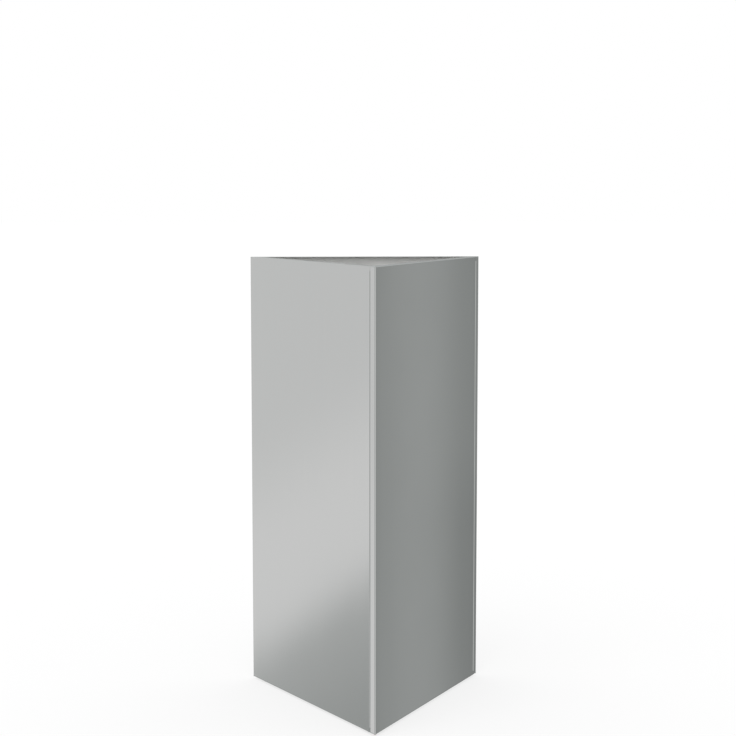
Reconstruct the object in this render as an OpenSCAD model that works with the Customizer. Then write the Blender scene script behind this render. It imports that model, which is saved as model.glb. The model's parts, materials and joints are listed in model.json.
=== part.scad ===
// Tall planter with a triangular plan, folded from three like panels of steel sheet.
// Each panel wraps round one corner and is screwed to the next one by flanges inside.
// The origin is on the ground, in the middle of the box round the planter. The front corner
// points to -Y, the back face looks to +Y and +Z is up. All sizes are in millimetres.

/* [Planter] */
// Height over all, from the ground to the rim
overall_h = 1000; // [600:10:1200]
// Side of the triangle, between the sharp outer corners
side_l = 534; // [400:2:700]

/* [Sheet] */
// Thickness of the side panels
panel_t = 1.0; // [0.8:0.1:1.2]
// Thickness of the floor tray
tray_t = 1.5; // [1:0.1:2]
// Inner radius of every fold
fold_ri = 1.5; // [0.5:0.1:2]

/* [Rim and lower edge] */
// Width of the fold round the rim
rim_w = 20; // [12:1:30]
// Width of the fold that carries the floor tray
ledge_w = 30; // [28:1:40]
// Gap between two folds where they meet in a mitre
mitre_gap = 0.6; // [0.3:0.1:1]
// Room left free where two folds run into each other
fold_relief = 1.2; // [1:0.1:2]

/* [Corner seams] */
// Width of the strip that a panel wraps round its corner
wrap_w = 20; // [19:1:30]
// Depth of the two flanges of a seam, from the outer face
flange_w = 20; // [18:1:24]
// Distance from the rim and from the lower edge to the ends of the flanges
flange_end = 10; // [9:1:30]
// Gap in a seam above and below its flanges
seam_gap = 0.3; // [0.1:0.1:0.6]
// Number of screws in a seam
seam_count = 5; // [3:1:8]
// Height of the lowest screw above the lower edge, and of the rim above the highest one
seam_inset = 60; // [40:5:100]
// Depth of the seam screws below the outer face
seam_depth = 12; // [11.5:0.5:12.5]

/* [Floor tray] */
// Gap between the tray and the folds of the panels
tray_gap = 0.3; // [0.2:0.1:1]
// Height of the tray's upturned edges
tray_edge_h = 15; // [8:1:30]
// Distance from a corner to the end of an upturned edge
tray_edge_end = 70; // [60:1:100]
// Distance from a corner to the cut end of the tray, along the corner's middle line
tray_corner = 30; // [24:1:34]
// Diameter of the drain holes
drain_d = 12; // [6:1:20]
// Radius of the ring of drain holes round the middle one
drain_ring_r = 85; // [50:5:100]
// Number of drain holes in the ring
drain_count = 6; // [3:1:8]

/* [Floor screws] */
// Depth of the floor screws below the outer face
floor_depth = 18; // [16:0.5:20]
// Distance between the two floor screws of one side
floor_pitch = 220; // [100:10:230]

/* [Feet] */
// Height of a foot, which is the gap under the panels
foot_h = 5; // [4.5:0.5:8]
// Diameter of a foot
foot_d = 30; // [20:1:34]
// Distance from a corner to the middle of its foot, along the corner's middle line
foot_inset = 48; // [46:1:54]
// Height of the screw's seat inside a foot
foot_seat_h = 3.2; // [3:0.1:4]
// Gap round the screw head inside a foot
foot_seat_gap = 1; // [0.5:0.1:2]
// Size of the bevels round the upper and the lower edge of a foot
foot_bevel = 0.8; // [0.4:0.1:1.5]

/* [Screws] */
// Diameter of the screws
screw_d = 5; // [4:0.5:5]
// Length of the seam and floor screws
screw_l = 10; // [9:0.5:11]
// Length of the foot screws
foot_screw_l = 12; // [11:0.5:16]
// Diameter of a screw head
head_d = 9.5; // [8:0.1:10]
// Height of a screw head
head_h = 2.75; // [2:0.05:2.9]
// Height of the straight edge under the dome of a screw head
head_edge = 0.5; // [0.3:0.1:0.8]
// Width of the hexagon socket in a screw head
socket_w = 3; // [2:0.5:3]
// Depth of the hexagon socket
socket_deep = 1.6; // [1:0.1:1.8]
// Size of the chamfer at the end of a screw
screw_chamfer = 0.5; // [0.3:0.1:0.8]
// Width of a nut across its flats
nut_w = 8; // [7:0.1:9]
// Thickness of a nut
nut_h = 4; // [3:0.1:4.2]
// Diameter of a washer
washer_d = 10; // [9:0.5:11]
// Thickness of a washer
washer_t = 1; // [0.5:0.1:1.2]
// Gap round a screw in its nut and washer
thread_gap = 0.05; // [0.02:0.01:0.1]
// Gap round a screw in a sheet
hole_gap = 0.3; // [0.2:0.05:0.5]

/* [Hidden] */
$fn = 48;

// Turn of each corner about the middle of the triangle, from the front one
front_a = 0;
right_a = 120;
left_a = 240;
turns = [front_a, right_a, left_a];

// Angle between two sides of the triangle, and between a side and a corner's middle line
corner_a = 60;
half_a = corner_a / 2;

fold_ro = fold_ri + panel_t;
// Distance from a sharp corner to the point where its round fold begins
fold_run = fold_ro / tan(half_a);
// Distance from a sharp corner to the start of the straight folds of the rim and the ledge
edge_start = fold_run + fold_relief;
seam_x = side_l - wrap_w;
lower_z = foot_h;
upper_z = overall_h;

// Distance from the middle of the triangle to a sharp corner, and to the middle of a side
corner_r = side_l / sqrt(3);
side_r = corner_r / 2;
middle_y = (side_r + corner_r - fold_ro) / 2 - side_r;

tray_fold_ro = fold_ri + tray_t;
tray_z = lower_z + panel_t;
tray_inset = fold_ro + tray_gap;
deck_z = tray_z + tray_t;

hole_d = screw_d + 2 * hole_gap;
// Far enough to cut through any sheet
cut = 3;
// Overlap of the two stretches of a sheet that meet at a corner's fold
weld = 0.01;
// Overlap of neighbouring stretches of a sheet that lie in one plane
lap = 1;
// Least distance between two points of a plan
least = 0.01;

// Puts a piece at a corner: x runs along the face that starts there, y inwards, z up.
module place(turn) {
    translate([0, middle_y, 0])
        rotate(turn)
        translate([0, -corner_r, 0])
        rotate(corner_a)
        children();
}

// The same corner, with x along the other face, on which the wrapped strip lies.
module place_seam(turn) {
    place(turn)
        rotate(corner_a)
        mirror([0, 1, 0])
        children();
}

// Section of a fold, from angle a0 to angle a1 round its centre.
module fold_section(outer_r, inner_r, a0, a1) {
    far = 2 * outer_r;
    middle = (a0 + a1) / 2;
    intersection() {
        difference() {
            circle(r = outer_r);
            circle(r = inner_r);
        }
        polygon([
            [0, 0],
            [far * cos(a0), far * sin(a0)],
            [far * cos(middle), far * sin(middle)],
            [far * cos(a1), far * sin(a1)],
        ]);
    }
}

// Heights of the screws in a seam.
function seam_z(i) = lower_z + seam_inset
    + i * (upper_z - lower_z - 2 * seam_inset) / (seam_count - 1);

// A flat wall along x that ends at end_x in a flange turned inwards.
module flanged_wall(end_x) {
    bend_x = end_x - fold_ro;
    flange_low = lower_z + flange_end;
    flange_high = upper_z - flange_end;
    difference() {
        union() {
            translate([fold_run, 0, lower_z + fold_ro])
                cube([bend_x - fold_run, panel_t, upper_z - lower_z - 2 * fold_ro]);
            translate([0, 0, flange_low])
                linear_extrude(flange_high - flange_low) {
                    translate([bend_x - lap, 0])
                        square([lap, panel_t]);
                    translate([bend_x, fold_ro])
                        fold_section(fold_ro, fold_ri, -90, 0);
                    translate([end_x - panel_t, fold_ro])
                        square([panel_t, flange_w - fold_ro]);
                }
            // Ends of the wall above and below the flange, where it runs flat up to the seam
            for (z = [lower_z + fold_ro, flange_high + fold_relief])
                translate([bend_x - lap, 0, z])
                    cube([
                        lap + fold_ro - seam_gap / 2,
                        panel_t,
                        flange_end - fold_ro - fold_relief
                    ]);
        }
        for (i = [0 : seam_count - 1])
            translate([end_x - cut, seam_depth, seam_z(i)])
                rotate([0, 90, 0])
                cylinder(d = hole_d, h = 2 * cut);
    }
}

// Height at which a mitre stands above the outer face, x along the face from the corner.
function mitre_y(x) = (x - mitre_gap) * tan(half_a);

// Plan of the fold along a panel's face, with a mitre at each end.
function face_fold(width) =
    let (
        end_x = seam_x - seam_gap / 2,
        run = width / tan(half_a) + mitre_gap
    )
    [
        [edge_start, 0],
        [end_x, 0],
        [end_x, min(width, mitre_y(side_l - end_x))],
        [min(end_x - least, side_l - run), width],
        [run, width],
        [edge_start, mitre_y(edge_start)],
    ];

// Plan of the fold along the wrapped strip, with a mitre at the corner.
function strip_fold(width) =
    let (
        end_x = wrap_w - seam_gap / 2,
        reach = min(width, mitre_y(end_x))
    )
    [
        [edge_start, 0],
        [end_x, 0],
        [end_x, reach],
        [min(end_x, reach / tan(half_a) + mitre_gap) - least, reach],
        [edge_start, mitre_y(edge_start)],
    ];

// A fold at the top of a wall: its upper face is at z = 0, and its plan cuts it to length.
module edge_fold(width, plan) {
    intersection() {
        rotate([90, 0, 90])
            linear_extrude(side_l) {
                translate([0, -fold_ro - lap])
                    square([panel_t, lap]);
                translate([fold_ro, -fold_ro])
                    fold_section(fold_ro, fold_ri, 90, 180);
                translate([fold_ro, -panel_t])
                    square([width - fold_ro, panel_t]);
            }
        translate([0, 0, -fold_ro - lap])
            linear_extrude(fold_ro + lap)
            polygon(plan);
    }
}

// The folds at the rim and at the lower edge of one wall.
module edge_folds(rim_plan, ledge_plan) {
    translate([0, 0, upper_z])
        edge_fold(rim_w, rim_plan);
    translate([0, 0, lower_z])
        mirror([0, 0, 1])
        edge_fold(ledge_w, ledge_plan);
}

// The round fold at the corner that a panel wraps, at the panel's full height.
module corner_fold() {
    translate([0, 0, lower_z])
        linear_extrude(upper_z - lower_z) {
            translate([fold_run, fold_ro])
                fold_section(fold_ro, fold_ri, 180 - half_a, 270);
            translate([fold_run, 0])
                square([fold_relief, panel_t]);
            rotate(corner_a)
                translate([fold_run - weld, -panel_t])
                square([fold_relief + weld, panel_t]);
        }
}

// Places of the two floor screws along a face.
floor_xs = [(side_l - floor_pitch) / 2, (side_l + floor_pitch) / 2];
// Distance along a face, and depth below it, of the middle of a foot
foot_x = foot_inset * cos(half_a);
foot_y = foot_inset * sin(half_a);

// One side panel: face, wrapped strip, seam flanges, rim and ledge.
module side_panel() {
    difference() {
        union() {
            corner_fold();
            flanged_wall(seam_x);
            edge_folds(face_fold(rim_w), face_fold(ledge_w));
            rotate(corner_a)
                mirror([0, 1, 0]) {
                    flanged_wall(wrap_w);
                    edge_folds(strip_fold(rim_w), strip_fold(ledge_w));
                }
        }
        for (x = floor_xs)
            translate([x, floor_depth, lower_z - cut])
                cylinder(d = hole_d, h = 2 * cut);
        for (x = [foot_x, side_l - foot_x])
            translate([x, foot_y, lower_z - cut])
                cylinder(d = hole_d, h = 2 * cut);
    }
}

// Plan of the tray: the triangle inside the panels, with its three corners cut off.
module tray_plan() {
    inner_r = corner_r - 2 * tray_inset;
    intersection() {
        circle(r = inner_r, $fn = 3);
        rotate(180)
            circle(r = 2 * (corner_r - tray_corner), $fn = 3);
    }
}

// The tray's flat floor, before its holes, with room along each side for the upturned edge.
module tray_floor() {
    difference() {
        translate([0, middle_y, tray_z])
            rotate(-90)
            linear_extrude(tray_t)
            tray_plan();
        for (a = turns)
            place(a)
                translate([tray_edge_end, 0, tray_z - cut])
                cube([side_l - 2 * tray_edge_end, tray_inset + tray_fold_ro, 2 * cut]);
    }
}

// One upturned edge of the tray, in the frame of a face.
module tray_edge() {
    length = side_l - 2 * tray_edge_end - 2 * fold_relief;
    translate([tray_edge_end + fold_relief, tray_inset, tray_z])
        rotate([90, 0, 90])
        linear_extrude(length) {
            translate([tray_fold_ro, tray_fold_ro])
                fold_section(tray_fold_ro, fold_ri, 180, 270);
            translate([0, tray_fold_ro])
                square([tray_t, tray_edge_h - tray_fold_ro]);
            translate([tray_fold_ro, 0])
                square([lap, tray_t]);
        }
}

module floor_tray() {
    color("darkgray")
        difference() {
            union() {
                tray_floor();
                for (a = turns)
                    place(a)
                        tray_edge();
            }
            for (a = turns)
                place(a)
                    translate([0, 0, tray_z - cut]) {
                        for (x = floor_xs)
                            translate([x, floor_depth, 0])
                                cylinder(d = hole_d, h = 3 * cut);
                        translate([foot_x, foot_y, 0])
                            cylinder(d = hole_d, h = 3 * cut);
                    }
            translate([0, middle_y, tray_z - cut]) {
                cylinder(d = drain_d, h = 3 * cut);
                for (i = [0 : drain_count - 1])
                    rotate(half_a + i * 360 / drain_count)
                        translate([drain_ring_r, 0, 0])
                        cylinder(d = drain_d, h = 3 * cut);
            }
        }
}

// A screw with a domed head: it bears on z = 0, its shank points down and its head up.
module screw(length) {
    rise = head_h - head_edge;
    dome_r = (head_d * head_d / 4 + rise * rise) / (2 * rise);
    tip_d = screw_d - 2 * screw_chamfer;
    difference() {
        union() {
            intersection() {
                cylinder(d = head_d, h = head_h);
                translate([0, 0, head_h - dome_r])
                    sphere(r = dome_r, $fn = 96);
            }
            translate([0, 0, screw_chamfer - length])
                cylinder(d = screw_d, h = length - screw_chamfer);
            translate([0, 0, -length])
                cylinder(d1 = tip_d, d2 = screw_d, h = screw_chamfer);
        }
        translate([0, 0, head_h - socket_deep])
            cylinder(d = socket_w / cos(30), h = socket_deep + cut, $fn = 6);
    }
}

// A hexagon nut that stands on z = 0, with both faces chamfered.
module nut() {
    corner_d = nut_w / cos(30);
    chamfer = (corner_d - nut_w) / 4;
    difference() {
        intersection() {
            cylinder(d = corner_d, h = nut_h, $fn = 6);
            rotate_extrude()
                polygon([
                    [0, 0],
                    [nut_w / 2, 0],
                    [corner_d / 2, chamfer],
                    [corner_d / 2, nut_h - chamfer],
                    [nut_w / 2, nut_h],
                    [0, nut_h],
                ]);
        }
        translate([0, 0, -cut])
            cylinder(d = screw_d + 2 * thread_gap, h = nut_h + 2 * cut);
    }
}

// A washer that lies on z = 0.
module washer() {
    difference() {
        cylinder(d = washer_d, h = washer_t);
        translate([0, 0, -cut])
            cylinder(d = screw_d + 2 * thread_gap, h = washer_t + 2 * cut);
    }
}

// A foot that stands on the ground, hollow below for the head of its screw.
module foot() {
    seat_r = head_d / 2 + foot_seat_gap;
    color("dimgray")
        rotate_extrude()
        polygon([
            [hole_d / 2, foot_seat_h],
            [hole_d / 2, foot_h],
            [foot_d / 2 - foot_bevel, foot_h],
            [foot_d / 2, foot_h - foot_bevel],
            [foot_d / 2, foot_bevel],
            [foot_d / 2 - foot_bevel, 0],
            [seat_r, 0],
            [seat_r, foot_seat_h],
        ]);
}

// Puts a copy of a piece at each screw of a seam, its own z pointing away from the corner.
module each_seam_screw(turn, x) {
    place_seam(turn)
        for (i = [0 : seam_count - 1])
            translate([x, seam_depth, seam_z(i)])
                rotate([0, 90, 0])
                children();
}

// Puts a copy of a piece at each floor screw.
module each_floor_screw(z) {
    for (a = turns)
        place(a)
            for (x = floor_xs)
                translate([x, floor_depth, z])
                    children();
}

// Puts a copy of a piece at each foot.
module each_foot(z) {
    for (a = turns)
        place(a)
            translate([foot_x, foot_y, z])
            children();
}

module seam_screws(turn) {
    color("gainsboro")
        each_seam_screw(turn, wrap_w + panel_t)
        screw(screw_l);
}

module seam_washers(turn) {
    color("silver")
        each_seam_screw(turn, wrap_w - panel_t - washer_t)
        washer();
}

module seam_nuts(turn) {
    color("gainsboro")
        each_seam_screw(turn, wrap_w - panel_t - washer_t - nut_h)
        nut();
}

module floor_screws() {
    color("gainsboro")
        each_floor_screw(lower_z)
        mirror([0, 0, 1])
        screw(screw_l);
}

module floor_washers() {
    color("silver")
        each_floor_screw(deck_z)
        washer();
}

module floor_nuts() {
    color("gainsboro")
        each_floor_screw(deck_z + washer_t)
        nut();
}

module foot_screws() {
    color("gainsboro")
        each_foot(foot_seat_h)
        mirror([0, 0, 1])
        screw(foot_screw_l);
}

module foot_washers() {
    color("silver")
        each_foot(deck_z)
        washer();
}

module foot_nuts() {
    color("gainsboro")
        each_foot(deck_z + washer_t)
        nut();
}

module right_panel() {
    color("silver")
        place(front_a)
        side_panel();
}

module back_panel() {
    color("silver")
        place(right_a)
        side_panel();
}

module left_panel() {
    color("silver")
        place(left_a)
        side_panel();
}

module foot_at(turn) {
    place(turn)
        translate([foot_x, foot_y, 0])
        foot();
}

right_panel();
back_panel();
left_panel();
floor_tray();
seam_screws(front_a);  // front_seam_screws
seam_washers(front_a);  // front_seam_washers
seam_nuts(front_a);  // front_seam_nuts
seam_screws(right_a);  // right_seam_screws
seam_washers(right_a);  // right_seam_washers
seam_nuts(right_a);  // right_seam_nuts
seam_screws(left_a);  // left_seam_screws
seam_washers(left_a);  // left_seam_washers
seam_nuts(left_a);  // left_seam_nuts
floor_screws();
floor_washers();
floor_nuts();
foot_at(front_a);  // front_foot
foot_at(right_a);  // right_foot
foot_at(left_a);  // left_foot
foot_screws();
foot_washers();
foot_nuts();
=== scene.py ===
"""A tall planter with a triangular plan, folded from three panels of satin steel.

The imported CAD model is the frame. The three panels are made again as thin sheets with
true folds. The tray, the fasteners and the feet keep their CAD meshes and get finishes.
Lengths are in metres. The front corner points to -Y, and the back face looks to +Y.
"""

import json
import logging
import math
from collections.abc import Callable, Iterable
from dataclasses import dataclass, field
from enum import Enum
from typing import Any

import bmesh
import bpy
from mathutils import Matrix, Vector, noise

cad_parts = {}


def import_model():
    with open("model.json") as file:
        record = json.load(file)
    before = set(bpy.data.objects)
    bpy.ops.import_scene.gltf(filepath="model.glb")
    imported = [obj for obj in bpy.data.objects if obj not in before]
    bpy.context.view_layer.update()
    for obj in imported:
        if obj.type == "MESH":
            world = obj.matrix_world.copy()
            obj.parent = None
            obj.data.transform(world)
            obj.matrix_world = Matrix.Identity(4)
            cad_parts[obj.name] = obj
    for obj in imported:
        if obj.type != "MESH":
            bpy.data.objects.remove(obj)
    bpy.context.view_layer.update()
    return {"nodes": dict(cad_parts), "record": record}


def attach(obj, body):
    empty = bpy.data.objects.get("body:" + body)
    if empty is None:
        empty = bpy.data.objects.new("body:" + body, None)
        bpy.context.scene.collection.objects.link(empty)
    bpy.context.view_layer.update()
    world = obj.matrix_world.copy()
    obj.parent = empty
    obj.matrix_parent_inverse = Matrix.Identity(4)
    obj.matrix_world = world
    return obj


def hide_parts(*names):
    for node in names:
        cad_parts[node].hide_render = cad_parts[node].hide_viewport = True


LOG = logging.getLogger("planter")

MM = 0.001
WHITE = (1.0, 1.0, 1.0, 1.0)
FULL_TURN = 360.0
CORNER_ANGLE = math.radians(60)
HALF_CORNER = math.radians(30)

# Places of the Mix node's sockets, because several of them share a name
MIX_FACTOR, MIX_VALUE_A, MIX_VALUE_B = 0, 2, 3
MIX_COLOUR_A, MIX_COLOUR_B, MIX_COLOUR = 6, 7, 2


class Slot(Enum):
    """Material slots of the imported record."""

    PANEL = "panel_steel"
    TRAY = "tray_steel"
    FASTENER = "zinc_fasteners"
    FOOT = "foot_rubber"


class Corner(Enum):
    """Corners of the triangle, by the turn in degrees from the front one."""

    FRONT = 0.0
    RIGHT = 120.0
    LEFT = 240.0


class Measure(Enum):
    """Measures of a direction in the surroundings, in degrees."""

    AZIMUTH = "azimuth"
    ELEVATION = "elevation"
    RISE = "rise above the slanting edge"


def linear(code: str) -> tuple[float, float, float, float]:
    """Turns an sRGB hex colour to linear RGBA.

    Args:
        code: Six hex digits.

    Returns:
        Linear red, green and blue, and an alpha of 1.
    """
    parts = [int(code[i : i + 2], 16) / 255 for i in (0, 2, 4)]
    red, green, blue = (
        c / 12.92 if c <= 0.04045 else ((c + 0.055) / 1.055) ** 2.4 for c in parts
    )
    return red, green, blue, 1.0


def add_node(
    tree: bpy.types.NodeTree,
    kind: str,
    inputs: dict[str | int, Any] | None = None,
    **settings: Any,
) -> bpy.types.Node:
    """Adds a node with its settings, values and links.

    Args:
        tree: Node tree of a material or of the world.
        kind: Type name of the node, without its prefix.
        inputs: Value or source socket for each input that is set.
        **settings: Properties of the node.

    Returns:
        The new node.
    """
    made = tree.nodes.new("ShaderNode" + kind)
    for name, value in settings.items():
        setattr(made, name, value)
    for key, value in (inputs or {}).items():
        if isinstance(value, bpy.types.NodeSocket):
            tree.links.new(value, made.inputs[key])
        else:
            made.inputs[key].default_value = value
    return made


def smoothstep(low: float, high: float, value: float) -> float:
    """Rises smoothly from 0 at low to 1 at high.

    Args:
        low: Value at which the rise begins.
        high: Value at which it ends.
        value: Value to place between them.

    Returns:
        A share between 0 and 1.
    """
    share = min(1.0, max(0.0, (value - low) / (high - low)))
    return share * share * (3 - 2 * share)


@dataclass(frozen=True)
class Pattern:
    """Sockets from 0 to 1 that drive the shade, gloss and relief of a finish."""

    shade: bpy.types.NodeSocket
    gloss: bpy.types.NodeSocket
    height: bpy.types.NodeSocket


@dataclass(frozen=True)
class Finish:
    """A node-based material on object coordinates.

    The colours light and dark are the ends of its shade, smoothest and roughest those
    of its roughness, and relief is the height of its bumps.
    """

    name: str
    light: str
    dark: str
    metallic: float
    smoothest: float
    roughest: float
    relief: float
    detail: float = 3.0

    def pattern(
        self, tree: bpy.types.NodeTree, coords: bpy.types.NodeSocket
    ) -> Pattern:
        """Makes the nodes that tell one finish from another.

        Args:
            tree: Node tree of the material.
            coords: Object coordinates.

        Returns:
            The sockets that drive the finish.
        """
        raise NotImplementedError

    def build(self) -> bpy.types.Material:
        """Makes the material.

        Returns:
            The material.
        """
        made = bpy.data.materials.new(self.name)
        made.use_nodes = True
        tree = made.node_tree
        tree.nodes.clear()
        coords = add_node(tree, "TexCoord").outputs["Object"]
        drive = self.pattern(tree, coords)
        colour = add_node(
            tree,
            "Mix",
            {
                MIX_FACTOR: drive.shade,
                MIX_COLOUR_A: linear(self.dark),
                MIX_COLOUR_B: linear(self.light),
            },
            data_type="RGBA",
        )
        gloss = add_node(
            tree,
            "MapRange",
            {
                "Value": drive.gloss,
                "To Min": self.smoothest,
                "To Max": self.roughest,
            },
        )
        bump = add_node(
            tree, "Bump", {"Distance": self.relief, "Height": drive.height}
        )
        shader = add_node(
            tree,
            "BsdfPrincipled",
            {
                "Base Color": colour.outputs[MIX_COLOUR],
                "Metallic": self.metallic,
                "Roughness": gloss.outputs[0],
                "Normal": bump.outputs[0],
            },
        )
        add_node(tree, "OutputMaterial", {"Surface": shader.outputs[0]})
        return made


@dataclass(frozen=True)
class SatinSteel(Finish):
    """Cold-rolled stainless sheet: a bright satin face that mirrors softly.

    The rollers give it a faint upright grain, and wiping puts weak clouds in its gloss.
    The real grain is about 0.2 mm wide, too fine to show, so it is drawn 2.5 mm wide.
    """

    name: str = "satin_rolled_steel"
    light: str = "CDCDCC"
    dark: str = "C9CACA"
    metallic: float = 1.0
    smoothest: float = 0.07
    roughest: float = 0.1
    relief: float = 0.0004 * MM
    grain_w: float = 2.5 * MM
    grain_l: float = 350 * MM
    cloud_w: float = 160 * MM

    def pattern(
        self, tree: bpy.types.NodeTree, coords: bpy.types.NodeSocket
    ) -> Pattern:
        """Makes the upright grain and the clouds.

        Args:
            tree: Node tree of the material.
            coords: Object coordinates.

        Returns:
            Grain for the shade and the relief, and clouds for the gloss.
        """
        across, along = 1 / self.grain_w, 1 / self.grain_l
        drawn = add_node(
            tree, "Mapping", {"Vector": coords, "Scale": (across, across, along)}
        )
        grain = add_node(
            tree,
            "TexNoise",
            {"Vector": drawn.outputs[0], "Scale": 1.0, "Detail": self.detail},
        )
        clouds = add_node(
            tree,
            "TexNoise",
            {"Vector": coords, "Scale": 1 / self.cloud_w, "Detail": self.detail},
        )
        return Pattern(grain.outputs[0], clouds.outputs[0], grain.outputs[0])


@dataclass(frozen=True)
class MillSteelWithPaintedLight(Finish):
    """The inner face of the same sheet: dull and blotchy as it left the mill, and
    painted pale as light for the shaded inside.
    """

    name: str = "mill_steel_with_painted_light"
    # Paler than the outer face: painted light for the shaded inside of the planter
    light: str = "E4E4E2"
    dark: str = "D5D6D5"
    metallic: float = 0.15
    smoothest: float = 0.42
    roughest: float = 0.56
    relief: float = 0.02 * MM
    detail: float = 5.0
    blotch_w: float = 45 * MM
    speck_w: float = 1.5 * MM
    speck_detail: float = 2.0

    def pattern(
        self, tree: bpy.types.NodeTree, coords: bpy.types.NodeSocket
    ) -> Pattern:
        """Makes large blotches and fine specks.

        Args:
            tree: Node tree of the material.
            coords: Object coordinates.

        Returns:
            Blotches for the shade and the gloss, and specks for the relief.
        """
        blotches = add_node(
            tree,
            "TexNoise",
            {"Vector": coords, "Scale": 1 / self.blotch_w, "Detail": self.detail},
        )
        specks = add_node(
            tree,
            "TexNoise",
            {
                "Vector": coords,
                "Scale": 1 / self.speck_w,
                "Detail": self.speck_detail,
            },
        )
        return Pattern(blotches.outputs[0], blotches.outputs[0], specks.outputs[0])


@dataclass(frozen=True)
class GalvanisedSteel(Finish):
    """Hot-dip galvanised steel, whose zinc crystals show as flat grey patches."""

    name: str = "galvanised_steel"
    light: str = "CDD1D3"
    dark: str = "B4B9BC"
    metallic: float = 0.55
    smoothest: float = 0.34
    roughest: float = 0.48
    relief: float = 0.01 * MM
    crystal_w: float = 9 * MM

    def pattern(
        self, tree: bpy.types.NodeTree, coords: bpy.types.NodeSocket
    ) -> Pattern:
        """Makes the crystals.

        Args:
            tree: Node tree of the material.
            coords: Object coordinates.

        Returns:
            Three unlike values, each the same all over a crystal.
        """
        crystals = add_node(
            tree, "TexVoronoi", {"Vector": coords, "Scale": 1 / self.crystal_w}
        )
        parts = add_node(tree, "SeparateColor", {0: crystals.outputs["Color"]})
        return Pattern(parts.outputs[0], parts.outputs[1], parts.outputs[2])


@dataclass(frozen=True)
class ZincPlate(Finish):
    """Bright zinc plate on small turned parts, slightly blue and uneven in gloss."""

    name: str = "zinc_plated_steel"
    light: str = "CBCFD4"
    dark: str = "B2B7BE"
    metallic: float = 1.0
    smoothest: float = 0.2
    roughest: float = 0.38
    relief: float = 0.01 * MM
    patch_w: float = 3 * MM

    def pattern(
        self, tree: bpy.types.NodeTree, coords: bpy.types.NodeSocket
    ) -> Pattern:
        """Makes small soft patches.

        Args:
            tree: Node tree of the material.
            coords: Object coordinates.

        Returns:
            The patches, for all three.
        """
        patches = add_node(
            tree,
            "TexNoise",
            {"Vector": coords, "Scale": 1 / self.patch_w, "Detail": self.detail},
        ).outputs[0]
        return Pattern(patches, patches, patches)


@dataclass(frozen=True)
class MouldedRubber(Finish):
    """Moulded black rubber, dull and a little dusty, with a fine eroded texture."""

    name: str = "moulded_rubber"
    light: str = "3C3C3B"
    dark: str = "262626"
    metallic: float = 0.0
    smoothest: float = 0.62
    roughest: float = 0.8
    relief: float = 0.04 * MM
    texture_w: float = 0.6 * MM
    dust_w: float = 8 * MM

    def pattern(
        self, tree: bpy.types.NodeTree, coords: bpy.types.NodeSocket
    ) -> Pattern:
        """Makes the eroded texture and the dust.

        Args:
            tree: Node tree of the material.
            coords: Object coordinates.

        Returns:
            Dust for the shade, and texture for the gloss and the relief.
        """
        dust, texture = (
            add_node(
                tree,
                "TexNoise",
                {"Vector": coords, "Scale": 1 / width, "Detail": self.detail},
            ).outputs[0]
            for width in (self.dust_w, self.texture_w)
        )
        return Pattern(dust, texture, texture)


@dataclass(frozen=True)
class Sizes:
    """Sizes of the planter, as in the CAD source.

    Lengths along the side run from the sharp corner. Widths and depths of the folds run
    from the outer face.
    """

    side_l: float = 534 * MM
    lower_z: float = 5 * MM
    upper_z: float = 1000 * MM
    sheet_t: float = 1 * MM
    fold_r: float = 2.5 * MM
    rim_w: float = 20 * MM
    ledge_w: float = 30 * MM
    mitre_gap: float = 0.6 * MM
    relief: float = 1.2 * MM
    strip_w: float = 20 * MM
    flange_w: float = 20 * MM
    flange_end: float = 10 * MM
    seam_gap: float = 0.3 * MM
    seam_count: int = 5
    seam_inset: float = 60 * MM
    seam_depth: float = 12 * MM
    hole_d: float = 5.6 * MM
    floor_depth: float = 18 * MM
    floor_pitch: float = 220 * MM
    foot_inset: float = 48 * MM

    @property
    def fold_run(self) -> float:
        """Distance from a sharp corner to the start of its round fold."""
        return self.fold_r / math.tan(HALF_CORNER)

    @property
    def edge_start(self) -> float:
        """Distance from a sharp corner to the folds of the rim and the ledge."""
        return self.fold_run + self.relief

    @property
    def corner_r(self) -> float:
        """Distance from the middle of the triangle to a sharp corner."""
        return self.side_l / math.sqrt(3)

    @property
    def middle_y(self) -> float:
        """Place of the middle of the triangle in the middle of the box."""
        return (self.corner_r * 1.5 - self.fold_r) / 2 - self.corner_r / 2

    @property
    def quarter(self) -> float:
        """Length of the outer skin in a fold of 90 degrees."""
        return self.fold_r * math.pi / 2

    @property
    def third(self) -> float:
        """Length of the outer skin in the corner fold of 120 degrees."""
        return self.fold_r * math.pi * 2 / 3


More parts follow.
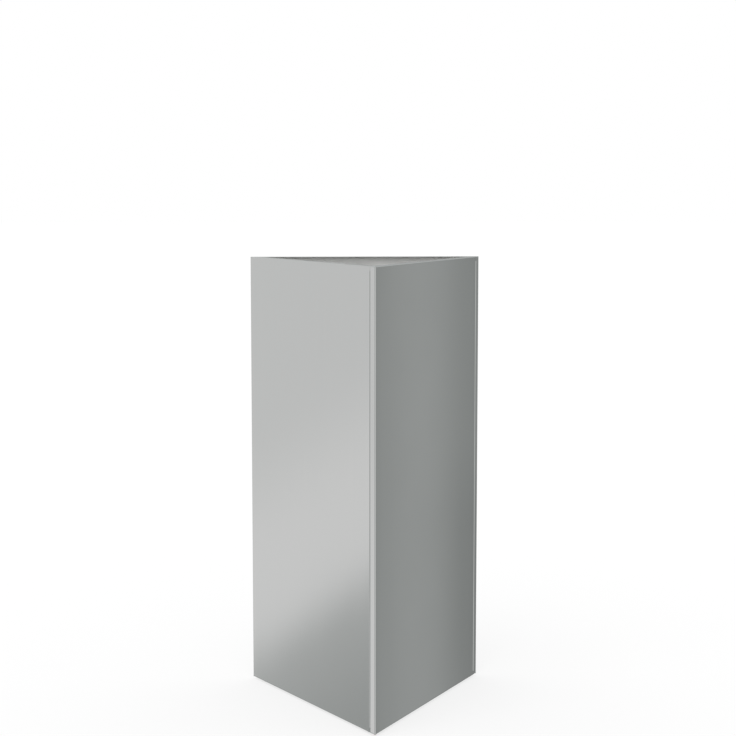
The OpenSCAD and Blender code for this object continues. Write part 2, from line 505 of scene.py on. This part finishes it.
@dataclass
class Panel:
    """One side panel: a flat blank of sheet, cut out, punched and folded.

    In the blank, s runs along the plan and t up the wall, both along the outer skin.
    The strip round the corner lies at negative s. The cells are sized so that none of
    their lines crosses the square round a hole. Kerfs stand for the wider reliefs of
    the CAD. The wall has a slight wave, which fades out near its folds, and the strip a
    slight tilt, so that each catches another light.
    """

    name: str
    node: str
    corner: Corner
    seed: int
    face: bpy.types.Material
    back: bpy.types.Material
    sizes: Sizes = field(default_factory=Sizes)
    cell_s: float = 18 * MM
    cell_t: float = 42.5 * MM
    fold_steps: int = 8
    support: float = 0.8 * MM
    kerf: float = 0.3 * MM
    score_gap: float = 0.001 * MM
    merge_gap: float = 0.05 * MM
    hole_half: float = 4 * MM
    hole_cuts: int = 3
    edge_round: float = 0.1 * MM
    edge_steps: int = 2
    edge_angle: float = 40.0
    wave: float = 0.08 * MM
    wave_l: float = 420 * MM
    wave_fade: float = 60 * MM
    strip_tilt: float = 0.9 * MM

    def __post_init__(self) -> None:
        """Works out the folding lines of the blank."""
        z = self.sizes
        self.end_x = z.side_l - z.strip_w
        self.bend_x = self.end_x - z.fold_r
        self.strip_s = z.fold_run - z.third
        self.strip_bend = z.strip_w - z.fold_r
        self.rim_t = z.upper_z - z.fold_r
        self.ledge_t = z.lower_z + z.fold_r
        self.flange_low = z.lower_z + z.flange_end
        self.flange_high = z.upper_z - z.flange_end
        self.flange_run = z.quarter + z.flange_w - z.fold_r

    def on_strip(self, x: float) -> float:
        """Place in the blank of a point of the strip, x from the sharp corner."""
        return self.strip_s + self.sizes.fold_run - x

    def hole_places(self) -> list[tuple[float, float]]:
        """Middles of the round holes in the blank.

        Returns:
            Places along s and t, for the flanges and then for the ledge.
        """
        z = self.sizes
        depth = z.quarter + z.seam_depth - z.fold_r
        step = (z.upper_z - z.lower_z - 2 * z.seam_inset) / (z.seam_count - 1)
        ledge_depth = self.ledge_t - z.quarter - (z.floor_depth - z.fold_r)
        flanges = (self.bend_x + depth, self.on_strip(self.strip_bend) - depth)
        return [
            (s, z.lower_z + z.seam_inset + row * step)
            for s in flanges
            for row in range(z.seam_count)
        ] + [
            (z.side_l / 2 + way * z.floor_pitch / 2, ledge_depth) for way in (-1, 1)
        ]

    def foot_notches(self) -> list[tuple[float, float]]:
        """Middles of the square notches for the foot screws, in the ledge's mitres.

        Returns:
            Places along s and t.
        """
        z = self.sizes
        x = z.foot_inset * math.cos(HALF_CORNER)
        depth = z.foot_inset * math.sin(HALF_CORNER)
        t = self.ledge_t - z.quarter - (depth - z.fold_r)
        return [(x, t), (z.side_l - x, t)]

    def lines(self) -> tuple[list[float], list[float]]:
        """Cutting lines of the blank.

        Returns:
            The upright ones by their s, and the level ones by their t.
        """
        z = self.sizes
        gap = z.seam_gap / 2
        strip_bend_s = self.on_strip(self.strip_bend)
        strip_start_s = self.on_strip(z.edge_start)
        shares = [step / self.fold_steps for step in range(self.fold_steps + 1)]
        upright = {
            self.end_x - gap,
            self.on_strip(z.strip_w - gap),
            z.edge_start,
            z.edge_start + self.kerf,
            strip_start_s,
            strip_start_s - self.kerf,
            (strip_start_s + strip_bend_s) / 2,
            strip_bend_s + self.support,
            strip_bend_s - z.quarter - self.support,
            self.bend_x - self.support,
            self.bend_x + z.quarter + self.support,
        }
        level = {
            self.rim_t - self.support,
            self.rim_t + z.quarter + self.support,
            self.ledge_t + self.support,
            self.ledge_t - z.quarter - self.support,
            self.flange_high,
            self.flange_high + self.kerf,
            self.flange_low,
            self.flange_low - self.kerf,
        }
        for share in shares:
            upright.add(self.bend_x + share * z.quarter)
            upright.add(strip_bend_s - share * z.quarter)
            upright.add(self.strip_s + share * z.third)
            level.add(self.rim_t + share * z.quarter)
            level.add(self.ledge_t - share * z.quarter)
        for lines, low, high, cell in (
            (upright, z.edge_start, self.bend_x, self.cell_s),
            (level, self.flange_low, self.flange_high, self.cell_t),
        ):
            count = round((high - low) / cell)
            lines.update(low + (high - low) * i / count for i in range(1, count))
        return sorted(upright), sorted(level)

    def cut(
        self,
        sheet: bmesh.types.BMesh,
        point: tuple[float, float],
        normal: tuple[float, float],
        chosen: Callable[[Vector], bool] | None = None,
    ) -> None:
        """Scores the blank along a straight line.

        Args:
            sheet: The flat blank.
            point: A point on the line.
            normal: Direction across the line.
            chosen: Tells by the middle of a face whether it is scored. Without it, all
                faces are.
        """
        faces = [f for f in sheet.faces if not chosen or chosen(f.calc_center_median())]
        parts = {part for f in faces for part in (f, *f.edges, *f.verts)}
        bmesh.ops.bisect_plane(
            sheet,
            geom=list(parts),
            dist=self.score_gap,
            plane_co=(*point, 0.0),
            plane_no=(*normal, 0.0),
        )

    def frame_square(
        self, sheet: bmesh.types.BMesh, place: tuple[float, float], half: float
    ) -> None:
        """Scores the four sides of a square, no further than the faces round it.

        Args:
            sheet: The flat blank.
            place: Middle of the square.
            half: Half of its side.
        """
        s, t = place

        def near(middle: Vector) -> bool:
            """Tells whether a face is one of those round the square."""
            return abs(middle.x - s) < self.cell_s and abs(middle.y - t) < self.cell_t

        for way in (-half, half):
            self.cut(sheet, (s + way, t), (1, 0), near)
            self.cut(sheet, (s, t + way), (0, 1), near)

    def punch(self, sheet: bmesh.types.BMesh, place: tuple[float, float]) -> None:
        """Punches a round hole.

        Args:
            sheet: The flat blank.
            place: Middle of the hole.
        """
        self.frame_square(sheet, place, self.hole_half)
        middle = Vector((*place, 0))
        inside = [
            f
            for f in sheet.faces
            if (f.calc_center_median() - middle).length < self.hole_half
        ]
        held = set(inside)
        border = [
            e
            for e in {e for f in inside for e in f.edges}
            if len(held.intersection(e.link_faces)) == 1
        ]
        bmesh.ops.delete(sheet, geom=inside, context="FACES_KEEP_BOUNDARY")
        divided = bmesh.ops.subdivide_edges(sheet, edges=border, cuts=self.hole_cuts)
        split = {e for e in divided["geom"] if isinstance(e, bmesh.types.BMEdge)}
        border = [
            e for e in split.union(b for b in border if b.is_valid) if e.is_boundary
        ]
        ring = bmesh.ops.create_circle(
            sheet,
            segments=len(border),
            radius=self.sizes.hole_d / 2,
            matrix=Matrix.Translation(middle),
        )
        around = {e for v in ring["verts"] for e in v.link_edges}
        bmesh.ops.bridge_loops(sheet, edges=[*border, *around])

    def blank(self) -> bmesh.types.BMesh:
        """Makes the flat blank with its outline, mitres and holes.

        Returns:
            The blank, x for s and y for t.
        """
        z = self.sizes
        low_s = self.on_strip(self.strip_bend) - self.flange_run
        high_s = self.bend_x + self.flange_run
        low_t = self.ledge_t - z.quarter - z.ledge_w + z.fold_r
        high_t = self.rim_t + z.quarter + z.rim_w - z.fold_r
        sheet = bmesh.new()
        bmesh.ops.create_grid(sheet, x_segments=1, y_segments=1, size=0.5)
        size = (high_s - low_s, high_t - low_t, 1)
        middle = ((low_s + high_s) / 2, (low_t + high_t) / 2, 0)
        bmesh.ops.scale(sheet, vec=size, verts=sheet.verts)
        bmesh.ops.translate(sheet, vec=middle, verts=sheet.verts)
        upright, level = self.lines()
        for s in upright:
            self.cut(sheet, (s, 0), (1, 0))
        for t in level:
            self.cut(sheet, (0, t), (0, 1))
        for t in (z.lower_z, z.upper_z):
            self.cut(sheet, (0, t), (0, 1), self.at_corner)
        for place in self.foot_notches():
            self.frame_square(sheet, place, z.hole_d / 2)
        self.cut_mitres(sheet)
        waste = [f for f in sheet.faces if self.is_waste(f.calc_center_median())]
        bmesh.ops.delete(sheet, geom=waste, context="FACES")
        bmesh.ops.remove_doubles(sheet, verts=sheet.verts, dist=self.merge_gap)
        for place in self.hole_places():
            self.punch(sheet, place)
        return sheet

    def at_corner(self, place: Vector) -> bool:
        """Tells whether a place lies on the full-height corner fold."""
        start = self.sizes.edge_start
        return self.on_strip(start) < place.x < start

    def cut_mitres(self, sheet: bmesh.types.BMesh) -> None:
        """Scores the mitred ends of the rim and the ledge.

        Args:
            sheet: The flat blank.
        """
        z = self.sizes
        slope = math.tan(HALF_CORNER)
        folds = ((1, self.rim_t + z.quarter), (-1, self.ledge_t - z.quarter))
        ends = (
            (z.mitre_gap, 1, z.edge_start, z.side_l / 2),
            (z.side_l - z.mitre_gap, -1, z.side_l / 2, z.side_l),
            (self.on_strip(z.mitre_gap), -1, -z.side_l, self.on_strip(z.edge_start)),
        )
        for side, base in folds:
            for start, way, low, high in ends:

                def chosen(
                    middle: Vector,
                    base: float = base,
                    side: int = side,
                    low: float = low,
                    high: float = high,
                ) -> bool:
                    """Tells whether a face lies on this end of this fold."""
                    return low < middle.x < high and (middle.y - base) * side > 0

                point = (start, base - side * z.fold_r)
                self.cut(sheet, point, (slope * way, -side), chosen)

    def is_waste(self, place: Vector) -> bool:
        """Tells whether a place is cut away from the blank.

        Args:
            place: Middle of a face of the blank.

        Returns:
            True where there is no sheet.
        """
        z = self.sizes
        s, t = place.x, place.y
        if self.at_corner(place):
            return not z.lower_z < t < z.upper_z
        beyond = s > self.bend_x or s < self.on_strip(self.strip_bend)
        if beyond and self.flange_low < t < self.flange_high:
            return False
        gap = z.seam_gap / 2
        if s > self.end_x - gap or s < self.on_strip(z.strip_w - gap):
            return True
        if beyond and self.flange_low - self.kerf < t < self.flange_high + self.kerf:
            return True
        past = max(t - self.rim_t, self.ledge_t - t)
        if past <= 0:
            return False
        if self.on_strip(z.edge_start) - self.kerf < s < z.edge_start + self.kerf:
            return True
        depth = z.fold_r + past - z.quarter
        if depth < z.fold_r:
            return False
        along = z.fold_run + self.strip_s - s if s < 0 else min(s, z.side_l - s)
        notched = any(
            max(abs(s - x), abs(t - y)) < z.hole_d / 2 for x, y in self.foot_notches()
        )
        return notched or depth > (along - z.mitre_gap) * math.tan(HALF_CORNER)

    def plan_point(self, s: float, bent: bool) -> tuple[Vector, Vector]:
        """Outer line of the plan.

        Args:
            s: Place along the blank.
            bent: Whether the flanges are turned in at this height.

        Returns:
            The point and the inward direction, x along the face and y inwards.
        """
        z = self.sizes
        if s >= z.fold_run:
            return self.wall_point(s, self.bend_x, bent)
        if s >= self.strip_s:
            angle = math.pi * 3 / 2 - (z.fold_run - s) / z.fold_r
            out = Vector((math.cos(angle), math.sin(angle)))
            return Vector((z.fold_run, z.fold_r)) + out * z.fold_r, -out
        along = z.fold_run + self.strip_s - s
        point, inward = self.wall_point(along, self.strip_bend, bent)
        turned = Matrix.Rotation(CORNER_ANGLE, 2) @ Matrix(((1, 0), (0, -1)))
        return turned @ point, turned @ inward

    def wall_point(self, x: float, bend: float, bent: bool) -> tuple[Vector, Vector]:
        """Outer line of a wall and its flange.

        Args:
            x: Length along the outer skin from the sharp corner.
            bend: Length at which the flange's fold begins.
            bent: Whether the flange is turned in at this height.

        Returns:
            The point and the inward direction.
        """
        z = self.sizes
        if x <= bend or not bent:
            return Vector((x, 0)), Vector((0, 1))
        angle = (x - bend) / z.fold_r
        if angle < math.pi / 2:
            out = Vector((math.sin(angle), -math.cos(angle)))
            return Vector((bend, z.fold_r)) + out * z.fold_r, -out
        depth = z.fold_r + x - bend - z.quarter
        return Vector((bend + z.fold_r, depth)), Vector((-1, 0))

    def profile(self, s: float, t: float) -> tuple[float, float]:
        """Depth and height of a place once the rim and the ledge are folded.

        Args:
            s: Place along the blank.
            t: Place up the blank.

        Returns:
            Depth below the outer face, and height.
        """
        z = self.sizes
        past = max(t - self.rim_t, self.ledge_t - t)
        corner_end = z.edge_start + self.kerf / 2
        if past <= 0 or self.on_strip(corner_end) < s < corner_end:
            return 0.0, t
        if past < z.quarter:
            angle = past / z.fold_r
            depth = z.fold_r * (1 - math.cos(angle))
            rise = z.fold_r * math.sin(angle)
        else:
            depth = z.fold_r + past - z.quarter
            rise = z.fold_r
        return depth, self.rim_t + rise if t > self.rim_t else self.ledge_t - rise

    def dent(self, s: float, height: float) -> float:
        """How far the sheet stands inward of its true place.

        Args:
            s: Place along the blank.
            height: Height of the place.

        Returns:
            Depth of the slight wave in the wall, or of the tilt of the strip.
        """
        z = self.sizes
        share = 1.0
        for distance in (
            s - z.fold_run,
            self.bend_x - s,
            height - self.ledge_t,
            self.rim_t - height,
        ):
            share *= smoothstep(0, self.wave_fade, distance)
        place = Vector((s / self.wave_l, height / self.wave_l, self.seed))
        wave = self.wave * share * (1 + noise.noise(place)) / 2
        along = z.fold_run + self.strip_s - s
        flat = (self.strip_bend - along) / (self.strip_bend - z.fold_run)
        tilt = min(1.0, max(0.0, flat)) * smoothstep(0, z.third, z.fold_run - s)
        return wave + self.strip_tilt * tilt

    def fold(self, sheet: bmesh.types.BMesh) -> None:
        """Folds the blank to its shape in the panel's own frame.

        Args:
            sheet: The flat blank, whose points are moved.
        """
        slack = self.kerf / 2
        for point in sheet.verts:
            s, t = point.co.x, point.co.y
            bent = self.flange_low - slack < t < self.flange_high + slack
            place, inward = self.plan_point(s, bent)
            depth, height = self.profile(s, t)
            place = place + inward * (depth + self.dent(s, height))
            point.co = (place.x, place.y, height)

    def seat(self, sheet: bmesh.types.BMesh) -> None:
        """Moves the folded sheet from its own frame to its corner of the planter.

        Args:
            sheet: The folded sheet.
        """
        z = self.sizes
        moved = (
            Matrix.Translation((0, z.middle_y, 0))
            @ Matrix.Rotation(math.radians(self.corner.value), 4, "Z")
            @ Matrix.Translation((0, -z.corner_r, 0))
            @ Matrix.Rotation(CORNER_ANGLE, 4, "Z")
        )
        bmesh.ops.transform(sheet, matrix=moved, verts=sheet.verts)
        bmesh.ops.recalc_face_normals(sheet, faces=sheet.faces)
        middle = Vector((0, z.middle_y, z.upper_z / 2))
        largest = max(sheet.faces, key=lambda f: f.calc_area())
        if largest.normal.dot(largest.calc_center_median() - middle) < 0:
            bmesh.ops.reverse_faces(sheet, faces=sheet.faces)

    def build(self) -> bpy.types.Object:
        """Makes the panel and gives it its thickness and its finishes.

        Returns:
            The panel.
        """
        sheet = self.blank()
        self.fold(sheet)
        self.seat(sheet)
        mesh = bpy.data.meshes.new(self.name)
        sheet.to_mesh(mesh)
        sheet.free()
        mesh.shade_smooth()
        mesh.materials.append(self.face)
        mesh.materials.append(self.back)
        made = bpy.data.objects.new(self.name, mesh)
        bpy.context.collection.objects.link(made)
        wall = made.modifiers.new("thickness", "SOLIDIFY")
        wall.thickness = self.sizes.sheet_t
        wall.offset = -1
        wall.use_even_offset = True
        wall.material_offset = 1
        rounded = made.modifiers.new("edges", "BEVEL")
        rounded.width = self.edge_round
        rounded.segments = self.edge_steps
        rounded.limit_method = "ANGLE"
        rounded.angle_limit = math.radians(self.edge_angle)
        rounded.use_clamp_overlap = False
        rounded.harden_normals = True
        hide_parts(self.node)
        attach(made, "root")
        return made


@dataclass
class Hardware:
    """The tray, the fasteners and the feet, whose CAD meshes stay and get finishes."""

    nodes: dict[str, bpy.types.Object]
    record: dict[str, Any]

    def dress(self) -> Iterable[bpy.types.Object]:
        """Gives each node the finish of its slot in the record.

        Returns:
            The dressed nodes, one at a time.
        """
        finishes = {
            Slot.TRAY: GalvanisedSteel().build(),
            Slot.FASTENER: ZincPlate().build(),
            Slot.FOOT: MouldedRubber().build(),
        }
        for part in self.record["subparts"]:
            slot = Slot(part["material_slot"])
            if slot is Slot.PANEL:
                continue
            node = self.nodes[part["node"]]
            for held in node.material_slots:
                held.material = finishes[slot]
            yield node


@dataclass(frozen=True)
class SoftEdge:
    """A soft edge of a dim area of the surroundings, in degrees."""

    measure: Measure
    clear: float
    full: float


@dataclass(frozen=True)
class DimArea:
    """An area of the surroundings that is dimmer than the rest."""

    depth: float
    edges: tuple[SoftEdge, ...]


@dataclass(frozen=True)
class SoftBox:
    """A bright side of the surroundings, with the angles to its edge in degrees."""

    azimuth: float
    gain: float
    full: float
    end: float


# The stretch that the left face mirrors in the photograph
LEFT_SIDE = (
    SoftEdge(Measure.AZIMUTH, 100.0, 125.0),
    SoftEdge(Measure.AZIMUTH, 158.4, 156.0),
)

# The stretch that the far end of the right face mirrors
FAR_RIGHT = (
    SoftEdge(Measure.AZIMUTH, 34.8, 36.0),
    SoftEdge(Measure.AZIMUTH, 54.0, 44.0),
)

DIM_AREAS = (
    # The dark ground below the slanting edge, on the lower part of the left face
    DimArea(0.38, (SoftEdge(Measure.RISE, 1.35, -0.65), *LEFT_SIDE)),
    # Its slow fall towards the foot
    DimArea(0.18, (SoftEdge(Measure.RISE, -0.2, -4.4), *LEFT_SIDE)),
    # The slightly darker upper part of the left face
    DimArea(0.112, (SoftEdge(Measure.RISE, 3.5, 7.9), *LEFT_SIDE)),
    # The strip round the front corner, which is a little darker in its upper part
    DimArea(
        0.07,
        (
            SoftEdge(Measure.ELEVATION, -12.5, -7.5),
            SoftEdge(Measure.AZIMUTH, 156.0, 158.4),
        ),
    ),
    # The far end of the right face, a little darker from top to bottom
    DimArea(0.08, FAR_RIGHT),
    # A darker patch on the lower half of that end
    DimArea(
        0.14,
        (
            SoftEdge(Measure.ELEVATION, -8.0, -11.5),
            SoftEdge(Measure.ELEVATION, -18.5, -15.0),
            *FAR_RIGHT,
        ),
    ),
)

SOFT_BOXES = (
    # The large box beside the left face
    SoftBox(142.0, 0.52, 26.0, 56.0),
    # A second one behind the camera, for the faces as seen from the other sides
    SoftBox(288.0, 0.46, 28.0, 72.0),
    # The narrow strip light that shows along the middle of the right face
    SoftBox(34.35, 0.13, 0.0, 1.6),
)


@dataclass(frozen=True)
class Surroundings:
    """The white background, and the studio that the steel mirrors.

    The studio is a dim room with bright boxes on its sides, weak upright bands, a pale
    sky and a slanting edge, below which it is dark. Angles are in degrees.
    """

    dim: float = 0.397
    bright: float = 0.915
    sky: float = 0.86
    sky_start: float = 8.0
    sky_full: float = 40.0
    even: float = 1.35
    slant: float = 0.66
    slant_azimuth: float = 149.2
    slant_elevation: float = -15.74
    band_azimuth: float = 54.5
    band_pitch: float = 40.0
    band_depth: float = 0.12
    tint: str = "FAFFFD"
    areas: tuple[DimArea, ...] = DIM_AREAS
    boxes: tuple[SoftBox, ...] = SOFT_BOXES

    def build(self) -> None:
        """Makes the world: white for the camera, even light, and a mirrored studio."""
        world = bpy.data.worlds.new("studio")
        bpy.context.scene.world = world
        world.use_nodes = True
        tree = world.node_tree
        tree.nodes.clear()
        measures = self.measures(tree)
        light = self.lit(tree, measures[Measure.AZIMUTH])
        light = self.banded(tree, light, measures[Measure.AZIMUTH])
        light = self.under_sky(tree, light, measures[Measure.ELEVATION])
        for area in self.areas:
            light = self.dimmed(tree, light, area, measures)
        path = add_node(tree, "LightPath")
        grey = add_node(
            tree,
            "MapRange",
            {"Value": light, "From Min": self.dim, "From Max": self.bright},
        )
        tone = add_node(
            tree,
            "Mix",
            {
                MIX_FACTOR: grey.outputs[0],
                MIX_COLOUR_A: linear(self.tint),
                MIX_COLOUR_B: WHITE,
            },
            data_type="RGBA",
        )
        mirrored = add_node(
            tree,
            "Background",
            {"Color": tone.outputs[MIX_COLOUR], "Strength": light},
        )
        plain = add_node(
            tree,
            "MapRange",
            {"Value": path.outputs["Is Camera Ray"], "To Min": self.even},
        )
        white = add_node(
            tree, "Background", {"Color": WHITE, "Strength": plain.outputs[0]}
        )
        both = add_node(
            tree,
            "MixShader",
            {
                0: path.outputs["Is Glossy Ray"],
                1: white.outputs[0],
                2: mirrored.outputs[0],
            },
        )
        add_node(tree, "OutputWorld", {"Surface": both.outputs[0]})

    def measures(
        self, tree: bpy.types.NodeTree
    ) -> dict[Measure, bpy.types.NodeSocket]:
        """Measures the direction of a ray.

        Args:
            tree: Node tree of the world.

        Returns:
            Each measure in degrees.
        """
        way = add_node(tree, "TexCoord").outputs["Generated"]
        part = add_node(tree, "SeparateXYZ", {0: way}).outputs
        turn = add_node(
            tree, "Math", {0: part["Y"], 1: part["X"]}, operation="ARCTAN2"
        )
        rise = add_node(tree, "Math", {0: part["Z"]}, operation="ARCSINE")
        azimuth, elevation = (
            add_node(
                tree, "Math", {0: angle.outputs[0]}, operation="DEGREES"
            ).outputs[0]
            for angle in (turn, rise)
        )
        base = self.slant_elevation - self.slant * self.slant_azimuth
        edge = add_node(
            tree,
            "Math",
            {0: azimuth, 1: self.slant, 2: base},
            operation="MULTIPLY_ADD",
        )
        above = add_node(
            tree, "Math", {0: elevation, 1: edge.outputs[0]}, operation="SUBTRACT"
        )
        return {
            Measure.AZIMUTH: azimuth,
            Measure.ELEVATION: elevation,
            Measure.RISE: above.outputs[0],
        }

    def wave(
        self,
        tree: bpy.types.NodeTree,
        azimuth: bpy.types.NodeSocket,
        crest: float,
        pitch: float,
    ) -> bpy.types.NodeSocket:
        """A cosine wave round the horizon.

        Args:
            tree: Node tree of the world.
            azimuth: Azimuth of the ray in degrees.
            crest: Azimuth of a crest.
            pitch: Degrees from one crest to the next.

        Returns:
            The wave, from -1 to 1.
        """
        turn = 2 * math.pi / pitch
        phase = add_node(
            tree,
            "Math",
            {0: azimuth, 1: turn, 2: -crest * turn},
            operation="MULTIPLY_ADD",
        )
        return add_node(
            tree, "Math", {0: phase.outputs[0]}, operation="COSINE"
        ).outputs[0]

    def lit(
        self, tree: bpy.types.NodeTree, azimuth: bpy.types.NodeSocket
    ) -> bpy.types.NodeSocket:
        """Brightness of the dim room with its boxes.

        Args:
            tree: Node tree of the world.
            azimuth: Azimuth of the ray in degrees.

        Returns:
            The brightness.
        """
        light: bpy.types.NodeSocket | float = self.dim
        for box in self.boxes:
            share = add_node(
                tree,
                "MapRange",
                {
                    "Value": self.wave(tree, azimuth, box.azimuth, FULL_TURN),
                    "From Min": math.cos(math.radians(box.end)),
                    "From Max": math.cos(math.radians(box.full)),
                },
                interpolation_type="SMOOTHSTEP",
            )
            light = add_node(
                tree,
                "Math",
                {0: share.outputs[0], 1: box.gain, 2: light},
                operation="MULTIPLY_ADD",
            ).outputs[0]
        return light

    def banded(
        self,
        tree: bpy.types.NodeTree,
        light: bpy.types.NodeSocket,
        azimuth: bpy.types.NodeSocket,
    ) -> bpy.types.NodeSocket:
        """Lays weak upright bands over the dim sides.

        Args:
            tree: Node tree of the world.
            light: The brightness so far.
            azimuth: Azimuth of the ray in degrees.

        Returns:
            The brightness in bands, which fade out towards the bright sides.
        """
        depth = add_node(
            tree,
            "MapRange",
            {
                "Value": light,
                "From Min": self.dim,
                "From Max": (self.dim + self.bright) / 2,
                "To Min": self.band_depth,
                "To Max": 0.0,
            },
        )
        bands = self.wave(tree, azimuth, self.band_azimuth, self.band_pitch)
        factor = add_node(
            tree,
            "Math",
            {0: bands, 1: depth.outputs[0], 2: 1.0},
            operation="MULTIPLY_ADD",
        )
        return add_node(
            tree, "Math", {0: light, 1: factor.outputs[0]}, operation="MULTIPLY"
        ).outputs[0]

    def under_sky(
        self,
        tree: bpy.types.NodeTree,
        light: bpy.types.NodeSocket,
        elevation: bpy.types.NodeSocket,
    ) -> bpy.types.NodeSocket:
        """Spreads a pale sky over the sides.

        Args:
            tree: Node tree of the world.
            light: The brightness of the sides.
            elevation: Elevation of the ray in degrees.

        Returns:
            The brightness with the sky.
        """
        high = add_node(
            tree,
            "MapRange",
            {
                "Value": elevation,
                "From Min": self.sky_start,
                "From Max": self.sky_full,
            },
            interpolation_type="SMOOTHSTEP",
        )
        return add_node(
            tree,
            "Mix",
            {MIX_FACTOR: high.outputs[0], MIX_VALUE_A: light, MIX_VALUE_B: self.sky},
        ).outputs[0]

    def dimmed(
        self,
        tree: bpy.types.NodeTree,
        light: bpy.types.NodeSocket,
        area: DimArea,
        measures: dict[Measure, bpy.types.NodeSocket],
    ) -> bpy.types.NodeSocket:
        """Dims one area.

        Args:
            tree: Node tree of the world.
            light: The brightness so far.
            area: The area with its soft edges.
            measures: The direction's measures.

        Returns:
            The brightness that is left.
        """
        held: bpy.types.NodeSocket | float = area.depth
        for edge in area.edges:
            share = add_node(
                tree,
                "MapRange",
                {
                    "Value": measures[edge.measure],
                    "From Min": edge.clear,
                    "From Max": edge.full,
                },
                interpolation_type="SMOOTHSTEP",
            )
            held = add_node(
                tree, "Math", {0: share.outputs[0], 1: held}, operation="MULTIPLY"
            ).outputs[0]
        left = add_node(tree, "Math", {0: 1.0, 1: held}, operation="SUBTRACT")
        return add_node(
            tree, "Math", {0: light, 1: left.outputs[0]}, operation="MULTIPLY"
        ).outputs[0]


@dataclass(frozen=True)
class Studio:
    """The camera of the photograph, a white floor and a soft lamp.

    The camera's place is given round the planter, its turn and its tilt by its aim. The
    lens and the sensor are in millimetres, and angles in degrees.
    """

    sensor_w: float = 36.0
    lens: float = 86.46
    distance: float = 3.87912
    around: float = -2.756
    height: float = 1.18864
    turn: float = 2.70
    tilt: float = 6.2387
    floor_size: float = 80.0
    floor_seen: float = 0.185
    floor_glow: float = 0.715
    floor_bounce: float = 0.8
    # Depths inside the planter's outline where the painted shadow under it begins and
    # where it is full
    shade_start: float = 10 * MM
    shade_full: float = 45 * MM
    lamp_power: float = 0.9
    lamp_angle: float = 40.0
    lamp_lean: float = 38.0
    lamp_turn: float = -35.0

    def build(self) -> None:
        """Makes the camera, the floor, the lamp and the surroundings."""
        self.add_camera()
        self.add_floor()
        self.add_lamp()
        Surroundings().build()
        bpy.context.scene.view_settings.view_transform = "Standard"

    def add_camera(self) -> None:
        """Puts the camera where the photograph was taken from."""
        data = bpy.data.cameras.new("camera")
        data.lens = self.lens
        data.sensor_width = self.sensor_w
        camera = bpy.data.objects.new("camera", data)
        bpy.context.collection.objects.link(camera)
        around = math.radians(self.around)
        camera.location = (
            self.distance * math.sin(around),
            -self.distance * math.cos(around),
            self.height,
        )
        angles = (90 - self.tilt, 0.0, -self.turn)
        camera.rotation_euler = [math.radians(angle) for angle in angles]
        bpy.context.scene.camera = camera

    def add_floor(self) -> None:
        """Lays a wide white floor that keeps the planter's soft shadow, and a painted
        shadow under the planter.
        """
        plane = bmesh.new()
        bmesh.ops.create_grid(
            plane, x_segments=1, y_segments=1, size=self.floor_size / 2
        )
        mesh = bpy.data.meshes.new("floor")
        plane.to_mesh(mesh)
        plane.free()
        floor = bpy.data.objects.new("floor", mesh)
        bpy.context.collection.objects.link(floor)
        floor.visible_glossy = False
        made = bpy.data.materials.new("white_floor")
        made.use_nodes = True
        tree = made.node_tree
        tree.nodes.clear()
        seen = add_node(tree, "LightPath").outputs["Is Camera Ray"]
        share = add_node(
            tree,
            "MapRange",
            {"Value": seen, "To Min": self.floor_bounce, "To Max": self.floor_seen},
        )
        # The glow is taken away under the planter, which paints its shadow there
        glow = add_node(
            tree, "MapRange", {"Value": seen, "To Max": self.glow_with_painted_shadow(tree)}
        )
        shade = add_node(tree, "BsdfDiffuse", {"Color": share.outputs[0]})
        light = add_node(tree, "Emission", {"Strength": glow.outputs[0]})
        both = add_node(
            tree, "AddShader", {0: shade.outputs[0], 1: light.outputs[0]}
        )
        add_node(tree, "OutputMaterial", {"Surface": both.outputs[0]})
        mesh.materials.append(made)

    def glow_with_painted_shadow(self, tree: bpy.types.NodeTree) -> bpy.types.NodeSocket:
        """Paints a shadow on the floor under the planter by taking the floor's glow
        away there.

        Args:
            tree: Node tree of the floor's material.

        Returns:
            The glow, which ends just inside the planter's outline, so that the floor
            under the planter shows a painted shadow.
        """
        sizes = Sizes()
        place = add_node(tree, "TexCoord").outputs["Object"]
        depth: bpy.types.NodeSocket | float = sizes.side_l
        for corner in Corner:
            turn = math.radians(corner.value + 90)
            out = Vector((math.cos(turn), math.sin(turn), 0.0))
            reach = sizes.corner_r / 2 + out.y * sizes.middle_y
            along = add_node(
                tree, "VectorMath", {0: place, 1: out}, operation="DOT_PRODUCT"
            )
            inside = add_node(
                tree, "Math", {0: reach, 1: along.outputs[1]}, operation="SUBTRACT"
            )
            depth = add_node(
                tree, "Math", {0: depth, 1: inside.outputs[0]}, operation="MINIMUM"
            ).outputs[0]
        return add_node(
            tree,
            "MapRange",
            {
                "Value": depth,
                "From Min": self.shade_full,
                "From Max": self.shade_start,
                "To Max": self.floor_glow,
            },
            interpolation_type="SMOOTHSTEP",
        ).outputs[0]

    def add_lamp(self) -> None:
        """Hangs one large soft lamp, above and to the left of the camera."""
        data = bpy.data.lights.new("soft_lamp", "SUN")
        data.energy = self.lamp_power
        data.angle = math.radians(self.lamp_angle)
        lamp = bpy.data.objects.new("soft_lamp", data)
        bpy.context.collection.objects.link(lamp)
        angles = (self.lamp_lean, 0.0, self.lamp_turn)
        lamp.rotation_euler = [math.radians(angle) for angle in angles]
        lamp.visible_glossy = False


def main() -> None:
    """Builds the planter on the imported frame."""
    logging.basicConfig(level=logging.INFO, format="%(name)s: %(message)s")
    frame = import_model()
    face, back = SatinSteel().build(), MillSteelWithPaintedLight().build()
    for node, corner, seed in (
        ("right_panel", Corner.FRONT, 3),
        ("back_panel", Corner.RIGHT, 7),
        ("left_panel", Corner.LEFT, 11),
    ):
        made = Panel(node + "_sheet", node, corner, seed, face, back).build()
        LOG.info("%s: %d faces in its skin", made.name, len(made.data.polygons))
    for piece in Hardware(frame["nodes"], frame["record"]).dress():
        LOG.info("%s: %s", piece.name, piece.active_material.name)
    Studio().build()


if __name__ == "__main__":
    main()
